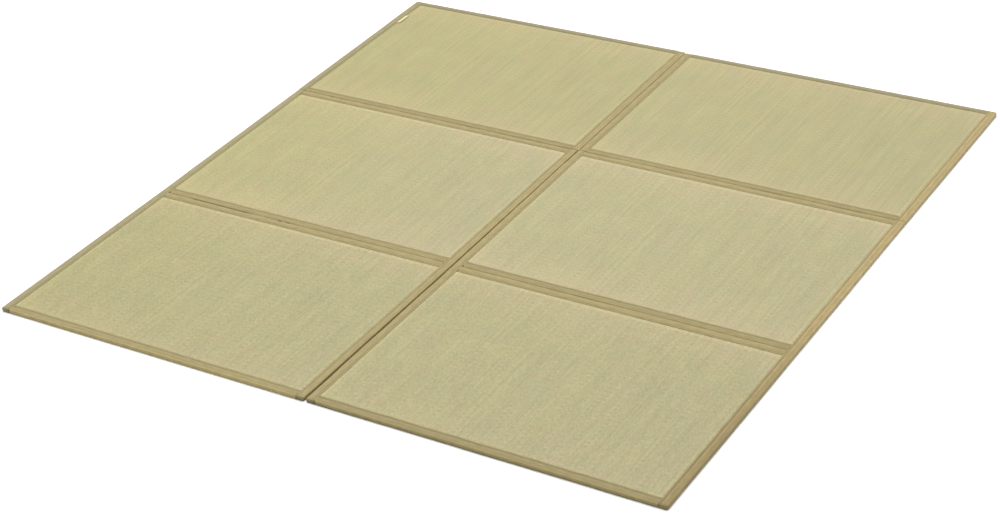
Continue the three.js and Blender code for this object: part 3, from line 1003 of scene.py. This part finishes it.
def make_side_tape(section, column, side):
    rows = SECTION_ROWS[section]
    length = PANEL_DEPTH * len(rows)

    def place(a, b):
        p = a if side == "left" else PANEL_WIDTH - a
        near = lay(CORNERS[rows[0], column], p, b)
        far = lay(CORNERS[rows[-1], column], p, b - length + PANEL_DEPTH)
        return np.where((b < PANEL_DEPTH)[..., None], near, far)

    look = SIDE_TAPES[section, column, side]
    rim = look["rim"]
    near_end = seen(*look["near"], look["lightness"])
    far_end = seen(*look["far"], look["lightness"])
    name = f"tape_{section}_{column}_{side}_side"
    end_shade_gain = END_SHADE_GAIN[section]
    material = tape_material(name, SIDE_WIDTH, near_end, far_end, rim, end_shade_gain=end_shade_gain)
    name = f"tape_{section}_section_{column}_{side}_side"
    node = f"binding_{section}_section_{column}_{side}_side"
    ends = (FREE_CORNER, BUTT_CORNER) if section == "front" else (BUTT_CORNER, FREE_CORNER)
    make_tape(name, node, SIDE_WIDTH, length, ends, place, material, rim)


# ---- The tag ---------------------------------------------------------------------------------


def make_tag():
    """A short ribbon beside the left binding, its free edge lifting a little."""
    low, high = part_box("tag_back_left")
    x = np.linspace(low.x, high.x, TAG_LINES[0])
    y = np.linspace(low.y, high.y, TAG_LINES[1])
    x, y = np.meshgrid(x, y, indexing="ij")
    across = (x - low.x) / (high.x - low.x)
    along = (y - low.y) / (high.y - low.y)
    lift = TAG_LIFT * across**TAG_LIFT_POWER + TAG_WAVE * np.sin(TAG_WAVE_TURN * along) * across
    place = np.stack([x - low.x, y - low.y], -1)
    shell = Shell()
    above = shell.grid(np.stack([x, y, low.z + TAG_THICKNESS + lift], -1), place)
    below = shell.grid(np.stack([x, y, low.z + lift], -1), place)
    for index in (above, below):
        shell.fine_faces(index)
    for edge in (0, -1):
        shell.fine_faces(np.stack([above[edge, :], below[edge, :]]))
        shell.fine_faces(np.stack([above[:, edge], below[:, edge]]))
    piece = shell.build("tag_ribbon", tag_material())
    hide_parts("tag_back_left")


# ---- Camera, floor and light -----------------------------------------------------------------


def make_camera():
    """At the photograph's angle: turned, raised, and rolled about its own line of sight."""
    azimuth, elevation, roll = (math.radians(CAMERA[k]) for k in ("azimuth", "elevation", "roll"))
    back = Vector((
        math.sin(azimuth) * math.cos(elevation),
        -math.cos(azimuth) * math.cos(elevation),
        math.sin(elevation),
    ))
    data = bpy.data.cameras.new("camera")
    data.lens = CAMERA["lens"]
    data.sensor_width = CAMERA["sensor"]
    data.clip_end = CAMERA["clip_end"]
    camera = bpy.data.objects.new("camera", data)
    turn = (-back).to_track_quat("-Z", "Y").to_matrix().to_4x4()
    spot = Matrix.Translation(Vector(CAMERA["aim"]) + CAMERA["distance"] * back)
    camera.matrix_world = spot @ turn @ Matrix.Rotation(roll, 4, "Z")
    bpy.context.scene.collection.objects.link(camera)
    bpy.context.scene.camera = camera


def make_floor():
    mesh = bpy.data.meshes.new("floor")
    half = FLOOR["size"] / 2
    corners = [(-half, -half, 0), (half, -half, 0), (half, half, 0), (-half, half, 0)]
    mesh.from_pydata(corners, [], [(0, 1, 2, 3)])
    material = bpy.data.materials.new("pale_floor")
    material.use_nodes = True
    shader = material.node_tree.nodes["Principled BSDF"]
    shader.inputs["Base Color"].default_value = FLOOR["colour"]
    shader.inputs["Roughness"].default_value = FLOOR["roughness"]
    shader.inputs["Specular IOR Level"].default_value = FLOOR["specular"]
    mesh.materials.append(material)
    floor = bpy.data.objects.new("floor", mesh)
    bpy.context.scene.collection.objects.link(floor)


def make_light():
    world = bpy.data.worlds.new("studio")
    world.use_nodes = True
    sky = world.node_tree.nodes["Background"]
    sky.inputs["Color"].default_value = (1, 1, 1, 1)
    sky.inputs["Strength"].default_value = SKY
    bpy.context.scene.world = world
    for box in SOFTBOXES:
        data = bpy.data.lights.new(box["name"], "AREA")
        data.size = box["size"]
        data.energy = box["watts"]
        softbox = bpy.data.objects.new(box["name"], data)
        spot = Vector(box["place"])
        softbox.location = spot
        softbox.rotation_mode = "QUATERNION"
        softbox.rotation_quaternion = (-spot).to_track_quat("-Z", "Y")
        bpy.context.scene.collection.objects.link(softbox)


# ---- Everything ------------------------------------------------------------------------------

make_camera()
make_floor()
make_light()
bpy.context.scene.view_settings.view_transform = "Standard"

for row, column in CORNERS:
    make_rush(row, column)
    for end in ENDS:
        make_cross_tape(row, column, end)
for section, column, side in SIDE_TAPES:
    make_side_tape(section, column, side)
make_tag()
